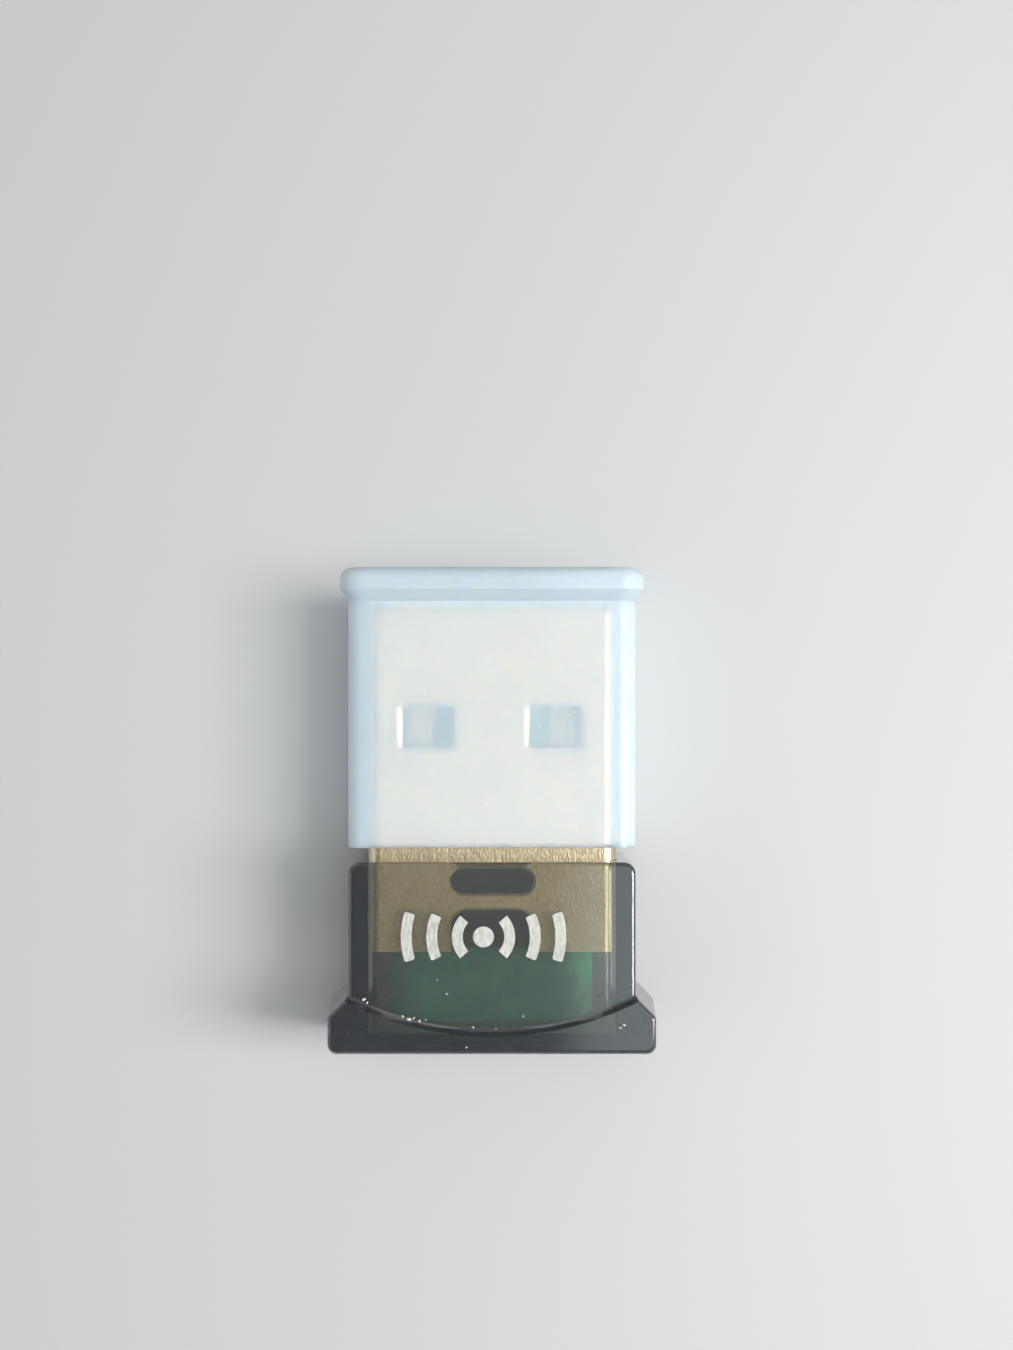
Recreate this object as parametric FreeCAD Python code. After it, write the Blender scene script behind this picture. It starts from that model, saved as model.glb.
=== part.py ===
"""A short USB radio adapter with its push-on cap, lying flat as it is stored.

A folded metal plug stands out of a smoke-tinted moulded housing whose rear end flares into a thumb
flange. A plastic tray inside the plug carries a narrow circuit board with four contact fingers at its
front, the radio parts in its middle and a printed antenna behind the plug, under the clear housing.
A milky soft cap with a rolled bead round its closed end slips over the plug.

Millimetres. +Z is up, +Y is the way the plug points, X runs across. The origin is at the bottom centre
of the capped adapter.
"""

import FreeCAD
import Part

import math
import os

Vector = FreeCAD.Vector

# Plug: one folded sheet, 12.0 by 4.5 outside as the connector standard has it
plug_width = 12.0
plug_height = 4.5
plug_reach = 12.54
plug_seat = 4.34
sheet = 0.3
plug_bend = 0.6
tip_length = 0.7
tip_lean = 0.14
tip_relief = 0.5

# Latch windows, two above and two below
window_width = 2.5
window_length = 2.0
window_corner = 0.25
window_side_margin = 1.7
window_setback = 5.1
punch_roll_depth = 0.12
window_roll_width = 0.25

# Openings near the plug's rear edge, on its upper face
slot_length = 4.0
slot_width = 1.2
slot_depth_in_housing = 0.95
notch_width = 3.9
notch_length = 2.0
notch_corner = 0.8
slot_roll_width = 0.12

# Butt seam along the lower face, locked by dovetails
seam_gap = 0.06
dovetail_depth = 0.7
dovetail_neck = 0.9
dovetail_flare = 0.2
dovetail_stations = (3.2, 10.0)

# Housing: a cup open at the front, drafted from its mid-height parting line
housing_width = 14.0
housing_height = 6.2
housing_length = 9.08
housing_draft = 0.13
housing_edge = 0.2
housing_front_corner = 0.55
socket_clearance = 0.05
rear_wall = 0.9

# Flange round the housing's rear end, with an arc scooped out of it above and below
flange_width = 15.9
flange_height = 7.1
flange_length = 2.1
flange_chamfer = 0.95
flange_chamfer_lean = 0.38
flange_rear_corner = 0.45
flange_side_corner = 0.3
scoop_radius = 15.3
scoop_rim = 1.05
scoop_slope = 0.2
scoop_root = 0.1

# Cap
cap_wall = 0.8
cap_edge = 0.8
cap_clearance = 0.1
cap_end_wall = 1.48
cap_tip_gap = 0.1
cap_gap = 0.7
cap_mouth_bevel = 0.15
bead_proud = 0.4
bead_length = 1.05
bead_round = 0.55
bead_undercut = 0.57

# Tray that carries the board in the plug
board_plane = 1.95
tray_side_gap = 0.05
tray_rail = 0.7
tray_front_gap = 0.35
tray_rear_gap = 0.15
tray_front_wall = 0.5
tray_front_bevel = 0.45
tray_pocket_depth = 0.6
tray_pocket_margin = 0.3

# Circuit board
board_thickness = 0.8
board_side_gap = 0.05
board_front_gap = 0.05
board_rear_gap = 0.12
board_corner = 0.3

# Contact fingers: the outer pair is longer, so that power meets first
contact_width = 1.2
contact_thickness = 0.06
contact_edge_margin = 1.4
contact_inner_pitch = 2.0
contact_outer_lead = 0.5
contact_inner_lead = 1.5
contact_end = 7.9

# Radio chip, a square leadless package
chip_size = 5.0
chip_height = 0.85
chip_setback = 0.05
chip_lead_pitch = 0.5
chip_leads_per_side = 8
chip_lead_width = 0.25
chip_lead_length = 0.4
chip_lead_height = 0.2
chip_dimple_radius = 0.25
chip_dimple_depth = 0.08
chip_dimple_inset = 0.7

# Crystal, a ceramic tub with a welded lid
crystal_length = 3.2
crystal_width = 2.5
crystal_base_height = 0.5
crystal_lid_height = 0.2
crystal_lid_margin = 0.2
crystal_corner = 0.2
crystal_edge_margin = 0.4
crystal_chip_gap = 0.5

# Small parts soldered flat, all of one case size
small_part_length = 1.0
small_part_width = 0.5
capacitor_height = 0.5
resistor_height = 0.35
inductor_height = 0.45
small_part_terminal = 0.25
small_part_terminal_proud = 0.02
small_part_column_gap = 0.45
small_part_row_pitch = 1.45

# Antenna printed on the board's underside, behind the plug
trace_width = 0.45
trace_thickness = 0.05
antenna_side_margin = 0.6
antenna_rear_margin = 0.45
antenna_depth = 1.9
antenna_folds = 7
antenna_feed_offset = 1.3
antenna_feed_gap = 0.25

# Stations along Y, heights along Z and offsets along X, from the sizes above
capped_length = housing_length + plug_reach + cap_tip_gap + cap_end_wall
rear_y = -capped_length / 2
front_y = rear_y + housing_length
tip_y = front_y + plug_reach
plug_rear_y = front_y - plug_seat
cap_mouth_y = front_y + cap_gap
cap_cavity_y = tip_y + cap_tip_gap
cap_end_y = cap_cavity_y + cap_end_wall
housing_cavity_y = rear_y + rear_wall

cap_inner_width = plug_width + 2 * cap_clearance
cap_inner_height = plug_height + 2 * cap_clearance
cap_width = cap_inner_width + 2 * cap_wall
cap_height = cap_inner_height + 2 * cap_wall
bead_width = cap_width + 2 * bead_proud
bead_height = cap_height + 2 * bead_proud
mid_z = max(flange_height, bead_height) / 2

socket_width = plug_width + 2 * socket_clearance
socket_height = plug_height + 2 * socket_clearance
plug_floor_z = mid_z - plug_height / 2 + sheet
board_top_z = plug_floor_z + board_plane
board_floor_z = board_top_z - board_thickness
tray_front_y = tip_y - tray_front_gap
tray_rear_y = plug_rear_y + tray_rear_gap
board_front_y = tray_front_y - tray_front_wall - board_front_gap
board_rear_y = housing_cavity_y + board_rear_gap
window_x = plug_width / 2 - window_side_margin - window_width / 2
window_y = tip_y - window_setback - window_length / 2
board_width = plug_width - 2 * (sheet + tray_side_gap + tray_rail + board_side_gap)
contact_outer_x = board_width / 2 - contact_edge_margin
contact_inner_x = contact_inner_pitch / 2
chip_y = plug_rear_y + chip_setback + chip_size / 2
crystal_x = crystal_edge_margin + crystal_length / 2 - board_width / 2
crystal_y = chip_y + chip_size / 2 + crystal_chip_gap + crystal_width / 2

PAST = 1.0  # how far a cutting tool runs past what it cuts
NEAR = 1e-4  # two places closer than this are the same place


def closed_wire(points):
    """Straight-sided closed wire through the points."""
    return Part.makePolygon(list(points) + [points[0]])


def rounded_rectangle(width, height, radius, place):
    """Closed wire of a rectangle with round corners. place turns its own (across, along) into a point."""
    a = width / 2
    b = height / 2
    r = min(radius, 0.49 * width, 0.49 * height)
    k = r * (1 - math.sqrt(0.5))
    corners = (
        ((a, b - r), (a - k, b - k), (a - r, b)),
        ((-a + r, b), (-a + k, b - k), (-a, b - r)),
        ((-a, -b + r), (-a + k, -b + k), (-a + r, -b)),
        ((a - r, -b), (a - k, -b + k), (a, -b + r)),
    )
    edges = []
    for index, (start, middle, end) in enumerate(corners):
        edges.append(Part.Arc(place(*start), place(*middle), place(*end)).toShape())
        following = corners[(index + 1) % 4][0]
        edges.append(Part.LineSegment(place(*end), place(*following)).toShape())
    return Part.Wire(edges)


def across_at(y):
    """Places a section's (x, height above the middle) in the plane across the adapter at y."""
    return lambda u, v: Vector(u, y, mid_z + v)


def bar(width, height, radius, y_from, y_to):
    """Round-cornered bar along Y on the adapter's centre line."""
    face = Part.Face(rounded_rectangle(width, height, radius, across_at(y_from)))
    return face.extrude(Vector(0, y_to - y_from, 0))


def taper(width, height, radius, y_from, y_to, lean):
    """Like bar, with every side leaning in by lean towards y_to."""
    start = rounded_rectangle(width, height, radius, across_at(y_from))
    end = rounded_rectangle(
        width - 2 * lean, height - 2 * lean, max(radius - lean, 0.05), across_at(y_to)
    )
    return Part.makeLoft([start, end], True, True)


def plate(width, length, radius, centre, z_from, z_to):
    """Round-cornered upright block whose plan is centred on centre, an (x, y)."""
    place = lambda u, v: Vector(centre[0] + u, centre[1] + v, z_from)
    return Part.Face(rounded_rectangle(width, length, radius, place)).extrude(
        Vector(0, 0, z_to - z_from)
    )


def block(x, y, z):
    """Box between pairs of limits on the three axes."""
    corner = Vector(min(x), min(y), min(z))
    return Part.makeBox(
        max(x) - min(x), max(y) - min(y), max(z) - min(z), corner
    )


def strip(start, end, width, z_from, z_to):
    """Flat strip from start to end, two (x, y) points, with square ends that overlap the next strip's."""
    along = Vector(end[0] - start[0], end[1] - start[1], 0)
    length = along.Length
    along.normalize()
    half = width / 2
    side = Vector(-along.y, along.x, 0) * half
    first = Vector(start[0], start[1], z_from) - along * half
    last = first + along * (length + width)
    face = Part.Face(closed_wire([first + side, first - side, last - side, last + side]))
    return face.extrude(Vector(0, 0, z_to - z_from))


def strips(points, width, z_from, z_to):
    """One flat ribbon that follows the points."""
    parts = [
        strip(start, end, width, z_from, z_to) for start, end in zip(points, points[1:])
    ]
    return parts[0].multiFuse(parts[1:]).removeSplitter()


def window_centres():
    """Middle of each latch window, seen from above."""
    return [(side * window_x, window_y) for side in (-1, 1)]


def punch(width, length, corner, roll_width, centre, surface, outward):
    """Cutter for a punched opening, with the rolled edge that the punch leaves on the sheet's outside."""
    reach = plug_height / 4
    x, y = centre
    cutter = plate(width, length, corner, centre, surface - outward * reach, surface + outward * PAST)

    def rim(grow, height):
        place = lambda u, v: Vector(x + u, y + v, surface + outward * height)
        return rounded_rectangle(width + 2 * grow, length + 2 * grow, corner + grow, place)

    slope = roll_width / punch_roll_depth
    depths = (-punch_roll_depth, punch_roll_depth)
    roll = Part.makeLoft([rim((d + punch_roll_depth) * slope, d) for d in depths], True, True)
    return [cutter, roll]


def plug_opening_cutters():
    """What is punched out of the plug's sheet: four windows, the slot and the rear notch."""
    top = mid_z + plug_height / 2
    bottom = mid_z - plug_height / 2
    cutters = []
    for centre in window_centres():
        for surface, outward in ((top, 1), (bottom, -1)):
            cutters += punch(
                window_width,
                window_length,
                window_corner,
                window_roll_width,
                centre,
                surface,
                outward,
            )
    slot_y = front_y - slot_depth_in_housing
    cutters += punch(
        slot_length, slot_width, slot_width / 2, slot_roll_width, (0, slot_y), top, 1
    )
    cutters += punch(
        notch_width, 2 * notch_length, notch_corner, slot_roll_width, (0, plug_rear_y), top, 1
    )
    return cutters


def seam_points():
    """The butt seam's line along the lower face, from the rear edge to the tip."""
    points = [(0, plug_rear_y - PAST)]
    for station in dovetail_stations:
        start = plug_rear_y + station
        end = start + dovetail_neck
        points.append((0, start))
        points.append((dovetail_depth, start - dovetail_flare))
        points.append((dovetail_depth, end + dovetail_flare))
        points.append((0, end))
    points.append((0, tip_y + PAST))
    return points


def make_plug_shell():
    """Folded sheet: a straight tube, a tip whose four walls lean in, punched openings and a locked seam."""
    shoulder_y = tip_y - tip_length
    inner_width = plug_width - 2 * sheet
    inner_height = plug_height - 2 * sheet
    inner_bend = max(plug_bend - sheet, 0.1)
    outer = bar(plug_width, plug_height, plug_bend, plug_rear_y, shoulder_y).fuse(
        taper(plug_width, plug_height, plug_bend, shoulder_y, tip_y, tip_lean)
    )
    inner = bar(inner_width, inner_height, inner_bend, plug_rear_y, shoulder_y).fuse(
        taper(inner_width, inner_height, inner_bend, shoulder_y, tip_y, tip_lean)
    )
    shell = outer.cut(inner)
    reliefs = []
    for x_side in (-1, 1):
        for z_side in (-1, 1):
            x_edge = x_side * plug_width / 2
            z_edge = mid_z + z_side * plug_height / 2
            reliefs.append(
                block(
                    (x_edge - x_side * plug_bend, x_edge + x_side * PAST),
                    (tip_y - tip_relief, tip_y + PAST),
                    (z_edge - z_side * plug_bend, z_edge + z_side * PAST),
                )
            )
    bottom = mid_z - plug_height / 2
    seam = strips(seam_points(), seam_gap, bottom - PAST, bottom + sheet + sheet / 2)
    return shell.cut(plug_opening_cutters() + reliefs + [seam]).removeSplitter()


def frustum(lower, upper):
    """Solid with flat sides between two like outlines, both anticlockwise from above."""
    faces = [Part.Face(closed_wire(lower[::-1])), Part.Face(closed_wire(upper))]
    for index in range(len(lower)):
        following = (index + 1) % len(lower)
        side = [lower[index], lower[following], upper[following], upper[index]]
        faces.append(Part.Face(closed_wire(side)))
    return Part.Solid(Part.Shell(faces))


def corner_edges(solid, y_from, y_to):
    """Upright edges of a drafted half whose middles stand between y_from and y_to."""
    return [
        e
        for e in solid.Edges
        if e.BoundBox.ZLength > housing_height / 4 and y_from < e.CenterOfMass.y < y_to
    ]


def crown_edges(solid, skip_y):
    """Edges round the top of a drafted half, all but the one at skip_y."""
    top = max(v.Z for v in solid.Vertexes)
    return [
        e
        for e in solid.Edges
        if e.BoundBox.ZMin > top - NEAR and abs(e.CenterOfMass.y - skip_y) > NEAR
    ]


def both_halves(upper):
    """The upper half joined to its mirror image below the parting line."""
    lower = upper.mirror(Vector(0, 0, mid_z), Vector(0, 0, 1))
    return upper.fuse(lower)


def make_housing_body():
    """Drafted bar, round at its front corners and along its top and bottom edges."""
    back_y = rear_y + rear_wall / 2

    def outline(half_width, z):
        return [
            Vector(-half_width, back_y, z),
            Vector(half_width, back_y, z),
            Vector(half_width, front_y, z),
            Vector(-half_width, front_y, z),
        ]

    wide = housing_width / 2
    half = frustum(
        outline(wide, mid_z), outline(wide - housing_draft, mid_z + housing_height / 2)
    )
    half = half.makeFillet(
        housing_front_corner, corner_edges(half, front_y - sheet, front_y + sheet)
    )
    half = half.makeFillet(housing_edge, crown_edges(half, back_y))
    return both_halves(half)


def make_flange():
    """Drafted thumb flange, chamfered down to the body's width, before the arcs are scooped out."""

    def outline(inset, recede, z):
        wing = flange_width / 2 - inset
        body = housing_width / 2 - inset
        chamfer_y = rear_y + flange_length - recede
        body_y = chamfer_y + flange_chamfer
        return [
            Vector(-wing, rear_y, z),
            Vector(wing, rear_y, z),
            Vector(wing, chamfer_y, z),
            Vector(body, body_y, z),
            Vector(-body, body_y, z),
            Vector(-wing, chamfer_y, z),
        ]

    half = frustum(
        outline(0, 0, mid_z),
        outline(housing_draft, flange_chamfer_lean, mid_z + flange_height / 2),
    )
    chamfer_top = rear_y + flange_length + flange_chamfer - flange_chamfer_lean
    half = half.makeFillet(
        flange_rear_corner, corner_edges(half, rear_y - sheet, rear_y + flange_chamfer_lean)
    )
    half = half.makeFillet(
        flange_side_corner, corner_edges(half, rear_y + flange_length / 2, rear_y + flange_length)
    )
    half = half.makeFillet(housing_edge, crown_edges(half, chamfer_top))
    return both_halves(half)


def scoop(side):
    """Round tool with a sloping rim that clears the flange above (side 1) or below (side -1) the body."""
    centre_y = rear_y + scoop_rim + scoop_radius
    floor = housing_height / 2
    rise = (flange_height - housing_height) / 2
    root = min(scoop_root, 0.4 * rise, 0.4 * scoop_slope)
    run = scoop_slope / rise
    high = rise + PAST

    def point(radius, v):
        return Vector(radius, centre_y, mid_z + side * (floor + v))

    outline = [
        point(0, 0),
        point(scoop_radius - root, 0),
        point(scoop_radius + root * run, root),
        point(scoop_radius + high * run, high),
        point(0, high),
    ]
    face = Part.Face(closed_wire(outline))
    return face.revolve(Vector(0, centre_y, mid_z), Vector(0, 0, 1), 360)


def make_housing():
    """Clear smoke cup: drafted body, flange with an arc scooped out above and below, plug socket."""
    flange = make_flange().cut([scoop(1), scoop(-1)])
    socket = bar(
        socket_width,
        socket_height,
        plug_bend + socket_clearance,
        housing_cavity_y,
        front_y + PAST,
    )
    return make_housing_body().fuse(flange).cut(socket).removeSplitter()


def make_cap():
    """Soft cup over the plug, with a rolled bead round its closed end to pull it by."""
    bead_y = cap_end_y - bead_length
    bead_edge = cap_edge + bead_proud
    tube = bar(cap_width, cap_height, cap_edge, cap_mouth_y, bead_y)
    bead = bar(bead_width, bead_height, bead_edge, bead_y, cap_end_y)
    rim = [e for e in bead.Edges if e.BoundBox.YMin > cap_end_y - NEAR]
    bead = bead.makeFillet(min(bead_round, 0.9 * bead_length), rim)
    undercut = taper(bead_width, bead_height, bead_edge, bead_y, bead_y - bead_undercut, bead_proud)
    bend = plug_bend + cap_clearance
    cavity = bar(cap_inner_width, cap_inner_height, bend, cap_mouth_y - PAST, cap_cavity_y)
    mouth = taper(
        cap_inner_width + 2 * cap_mouth_bevel,
        cap_inner_height + 2 * cap_mouth_bevel,
        bend + cap_mouth_bevel,
        cap_mouth_y,
        cap_mouth_y + cap_mouth_bevel,
        cap_mouth_bevel,
    )
    return tube.fuse([bead, undercut]).cut([cavity, mouth]).removeSplitter()


def make_board_tray():
    """Insulator in the plug's lower half: a floor, two side rails, a bevelled nose and latch pockets."""
    half_width = plug_width / 2 - sheet - tray_side_gap
    tray = block(
        (-half_width, half_width), (tray_rear_y, tray_front_y), (plug_floor_z, board_top_z)
    )
    nose = [
        e
        for e in tray.Edges
        if abs(e.CenterOfMass.y - tray_front_y) < NEAR
        and abs(e.CenterOfMass.z - board_top_z) < NEAR
    ]
    tray = tray.makeChamfer(min(tray_front_bevel, 0.9 * tray_front_wall), nose)
    pocket_width = board_width / 2 + board_side_gap
    channel = block(
        (-pocket_width, pocket_width),
        (tray_rear_y - PAST, board_front_y + board_front_gap),
        (board_floor_z, board_top_z + PAST),
    )
    pockets = [
        plate(
            window_width + 2 * tray_pocket_margin,
            window_length + 2 * tray_pocket_margin,
            window_corner,
            centre,
            plug_floor_z - PAST,
            plug_floor_z + min(tray_pocket_depth, (board_floor_z - plug_floor_z) * 0.7),
        )
        for centre in window_centres()
    ]
    lower_bends = [
        e
        for e in tray.Edges
        if abs(e.CenterOfMass.z - plug_floor_z) < NEAR
        and abs(abs(e.CenterOfMass.x) - half_width) < NEAR
    ]
    tray = tray.makeChamfer(max(plug_bend - sheet, 0.1), lower_bends)
    return tray.cut([channel] + pockets)


def make_circuit_board():
    """Glass-fibre board, rounded at its rear corners, from the plug's nose to the housing's rear wall."""
    board = block(
        (-board_width / 2, board_width / 2),
        (board_rear_y, board_front_y),
        (board_floor_z, board_top_z),
    )
    rear_corners = [
        e
        for e in board.Edges
        if e.BoundBox.ZLength > board_thickness / 2
        and abs(e.CenterOfMass.y - board_rear_y) < NEAR
    ]
    return board.makeFillet(board_corner, rear_corners)


def make_contact(x, lead):
    """Gold finger on the board, round at its leading end."""
    start = board_front_y - lead
    end = board_front_y - contact_end
    finger = block(
        (x - contact_width / 2, x + contact_width / 2),
        (end, start),
        (board_top_z, board_top_z + contact_thickness),
    )
    leading = [
        e
        for e in finger.Edges
        if e.BoundBox.ZLength > contact_thickness / 2
        and abs(e.CenterOfMass.y - start) < NEAR
    ]
    return finger.makeFillet(0.25 * contact_width, leading)


def chip_lead_boxes():
    """The chip's terminals, flush with its underside and its four edges."""
    span = (chip_leads_per_side - 1) * chip_lead_pitch
    half = chip_size / 2
    z = (board_top_z, board_top_z + chip_lead_height)
    leads = []
    for index in range(chip_leads_per_side):
        at = index * chip_lead_pitch - span / 2
        along = (at - chip_lead_width / 2, at + chip_lead_width / 2)
        for side in (-1, 1):
            reach = (side * (half - chip_lead_length), side * half)
            leads.append(block(along, (chip_y + reach[0], chip_y + reach[1]), z))
            leads.append(block(reach, (chip_y + along[0], chip_y + along[1]), z))
    return leads


def make_radio_chip():
    """Moulded package of the radio chip, with a dimple at its first corner."""
    half = chip_size / 2
    top = board_top_z + chip_height
    body = block((-half, half), (chip_y - half, chip_y + half), (board_top_z, top))
    mark = Part.makeCylinder(
        chip_dimple_radius,
        chip_dimple_depth + PAST,
        Vector(
            -half + chip_dimple_inset,
            chip_y + half - chip_dimple_inset,
            top - chip_dimple_depth,
        ),
    )
    return body.cut(chip_lead_boxes() + [mark])


def make_crystal():
    """Timing crystal: ceramic tub and a smaller welded lid, sealed as one."""
    centre = (crystal_x, crystal_y)
    lid_z = board_top_z + crystal_base_height
    tub = plate(
        crystal_length, crystal_width, crystal_corner, centre, board_top_z, lid_z
    )
    lid = plate(
        crystal_length - 2 * crystal_lid_margin,
        crystal_width - 2 * crystal_lid_margin,
        crystal_corner,
        centre,
        lid_z,
        lid_z + crystal_lid_height,
    )
    return tub.fuse(lid)


def make_small_part(centre, height, turned):
    """Two-ended soldered part. Its length runs along Y, or along X when turned."""
    x, y = centre
    half_length = small_part_length / 2
    half_width = small_part_width / 2
    proud = small_part_terminal_proud

    def lying(along, across, z):
        if turned:
            return block((x + along[0], x + along[1]), (y + across[0], y + across[1]), z)
        return block((x + across[0], x + across[1]), (y + along[0], y + along[1]), z)

    core = lying(
        (-half_length, half_length),
        (-half_width, half_width),
        (board_top_z, board_top_z + height),
    )
    ends = [
        lying(
            (side * (half_length - small_part_terminal), side * (half_length + proud)),
            (-half_width - proud, half_width + proud),
            (board_top_z, board_top_z + height + proud),
        )
        for side in (-1, 1)
    ]
    return core.fuse(ends).removeSplitter()


def small_parts():
    """Every small soldered part by name: two columns beside the chip and a group beside the crystal."""
    column_x = chip_size / 2 + small_part_column_gap + small_part_width / 2
    made = {}
    for side in (-1, 1):
        for row in range(3):
            number = row + 1 + (3 if side > 0 else 0)
            centre = (side * column_x, chip_y + (1 - row) * small_part_row_pitch)
            made[f"capacitor_{number}"] = make_small_part(centre, capacitor_height, False)
    beside_crystal_x = (
        crystal_x + crystal_length / 2 + small_part_column_gap + small_part_length / 2
    )
    for row in range(2):
        y = crystal_y + (row - 0.5) * small_part_row_pitch
        centre = (beside_crystal_x, y)
        made[f"capacitor_{row + 7}"] = make_small_part(centre, capacitor_height, True)
    resistor_x = beside_crystal_x + small_part_length + small_part_column_gap
    for row in range(2):
        y = crystal_y + (row - 0.5) * small_part_row_pitch
        made[f"resistor_{row + 1}"] = make_small_part((resistor_x, y), resistor_height, True)
    inductor_x = resistor_x + small_part_length + small_part_column_gap
    made["matching_inductor"] = make_small_part(
        (inductor_x, crystal_y), inductor_height, False
    )
    return made


def make_antenna():
    """Printed antenna: a feed line from the plug, then a meander along the board's rear edge."""
    left = -board_width / 2 + antenna_side_margin
    right = board_width / 2 - antenna_side_margin
    near = board_rear_y + antenna_rear_margin
    far = near + antenna_depth
    link = far + 1.5 * trace_width
    step = (right - left) / antenna_folds
    feed_y = tray_rear_y - antenna_feed_gap
    points = [(-antenna_feed_offset, feed_y), (-antenna_feed_offset, link), (left, link)]
    for fold in range(antenna_folds + 1):
        turn = (near, far)[fold % 2]
        points.append((left + fold * step, turn))
        if fold < antenna_folds:
            points.append((left + (fold + 1) * step, turn))
    return strips(points, trace_width, board_floor_z - trace_thickness, board_floor_z)


def all_pieces():
    """Every piece by its node name."""
    pieces = {
        "cap": make_cap(),
        "housing": make_housing(),
        "plug_shell": make_plug_shell(),
        "board_tray": make_board_tray(),
        "circuit_board": make_circuit_board(),
        "contact_power": make_contact(-contact_outer_x, contact_outer_lead),
        "contact_data_minus": make_contact(-contact_inner_x, contact_inner_lead),
        "contact_data_plus": make_contact(contact_inner_x, contact_inner_lead),
        "contact_ground": make_contact(contact_outer_x, contact_outer_lead),
        "radio_chip": make_radio_chip(),
        "chip_leads": Part.makeCompound(chip_lead_boxes()),
        "crystal": make_crystal(),
        "antenna": make_antenna(),
    }
    pieces.update(small_parts())
    return pieces


def main():
    os.makedirs("parts", exist_ok=True)
    for name, shape in all_pieces().items():
        shape.exportStep(f"parts/{name}.step")
        box = shape.BoundBox
        print(
            f"{name:20s} solids {len(shape.Solids):2d} valid {shape.isValid()}"
            f" volume {shape.Volume:8.3f}"
            f" x {box.XMin:7.3f} {box.XMax:7.3f}"
            f" y {box.YMin:7.3f} {box.YMax:7.3f}"
            f" z {box.ZMin:7.3f} {box.ZMax:7.3f}"
        )


main()
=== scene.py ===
"""Looks of a short USB radio adapter with its push-on cap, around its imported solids.

The solids stay where they are. This file gives them their finishes, adds the printed mark on the
housing and the crumbs of dust on the housing and the cap, and sets the floor, the lamps and the
camera.
"""

import math

import bpy
from bpy.props import FloatProperty, FloatVectorProperty, PointerProperty
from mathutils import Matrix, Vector


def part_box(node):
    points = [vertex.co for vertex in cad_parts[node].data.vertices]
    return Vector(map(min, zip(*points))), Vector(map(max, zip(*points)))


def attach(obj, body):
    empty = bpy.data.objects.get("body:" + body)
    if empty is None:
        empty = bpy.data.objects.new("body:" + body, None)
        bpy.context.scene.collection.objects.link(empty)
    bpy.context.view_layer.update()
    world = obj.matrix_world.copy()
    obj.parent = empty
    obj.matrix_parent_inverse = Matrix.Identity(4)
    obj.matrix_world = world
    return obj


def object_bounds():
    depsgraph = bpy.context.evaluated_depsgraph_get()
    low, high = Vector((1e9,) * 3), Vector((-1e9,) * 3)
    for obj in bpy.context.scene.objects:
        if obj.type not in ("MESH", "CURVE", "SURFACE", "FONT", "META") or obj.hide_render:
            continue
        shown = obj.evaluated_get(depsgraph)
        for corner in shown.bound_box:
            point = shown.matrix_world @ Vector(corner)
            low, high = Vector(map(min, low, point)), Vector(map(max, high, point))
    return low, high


bl_info = {
    "name": "Radio Adapter Looks",
    "version": (1, 0, 0),
    "blender": (4, 5, 0),
    "location": "View3D > Sidebar > Adapter",
    "description": "Finishes, printed mark and studio of a short USB radio adapter",
    "category": "Object",
}

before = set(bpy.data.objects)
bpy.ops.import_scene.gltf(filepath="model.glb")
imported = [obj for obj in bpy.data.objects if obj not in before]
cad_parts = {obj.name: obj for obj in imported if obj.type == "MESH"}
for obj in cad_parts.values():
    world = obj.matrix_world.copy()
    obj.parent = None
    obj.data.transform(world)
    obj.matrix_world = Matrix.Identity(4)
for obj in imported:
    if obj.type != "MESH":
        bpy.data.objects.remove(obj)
CAD_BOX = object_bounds()

MM = 0.001

# Bodies that the added pieces ride on
ADAPTER = "adapter"
CAP = "cap"

HOUSING_LOW, HOUSING_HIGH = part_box("housing")
PLUG_LOW, PLUG_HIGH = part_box("plug_shell")
BOARD_LOW, BOARD_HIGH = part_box("circuit_board")
CAP_MOUTH_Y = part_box("cap")[0].y
FLOOR_Z = CAD_BOX[0][2]
MID_Z = (HOUSING_LOW.z + HOUSING_HIGH.z) / 2

# The photograph's height and focal length in pixels, and its camera, which looks straight down
PHOTO_HEIGHT = 1350
PHOTO_FOCAL = 2029.0
SENSOR_HEIGHT = 36.0
CAMERA_PLACE = Vector((0.70, 6.44, 103.5)) * MM

# Lamps: place, width, height and colour, and whether it glints on metal under clear plastic
LAMPS = {
    "key": ((0.112, -0.012, 0.126), 0.05, 0.09, (1.0, 0.99, 0.98), True),
    "top": ((0.15, 0.0, 0.40), 0.28, 0.28, (0.86, 0.98, 1.0), False),
    "fill": ((-0.22, -0.03, 0.17), 0.20, 0.07, (0.95, 0.98, 1.0), False),
}
SKY_COLOUR = (0.93, 0.96, 1.0, 1)
WHITE = (1, 1, 1, 1)

# The floor's width, and the distances over which it fades into the backdrop
FLOOR_WIDTH = 3.0
FADE_START = 60 * MM
FADE_END = 190 * MM

# From the flange's top down to the face that carries the print, and the gap under the ink
PRINT_DROP = 0.45 * MM
INK_GAP = 0.002 * MM

# The mark's dot and arcs. The inset is a share of the dot's radius, the rounding one of the
# stroke, the reach and its growth are shares of the mark's half height, and the limit is the
# largest sine of an arc's half angle.
DOT_RADIUS = 0.5 * MM
DOT_CORNERS = 64
DOT_INSET = 0.3
INNER_ARC_RADIUS = 1.25 * MM
INNER_ARC_REACH = 0.7
REACH_GROWTH = 0.3
ARC_LIMIT = 0.95
ARCS_PER_SIDE = 3
ARC_STEPS = 160
END_ROUNDING = 0.3

CONTACTS = ("contact_power", "contact_data_minus", "contact_data_plus", "contact_ground")
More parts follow.
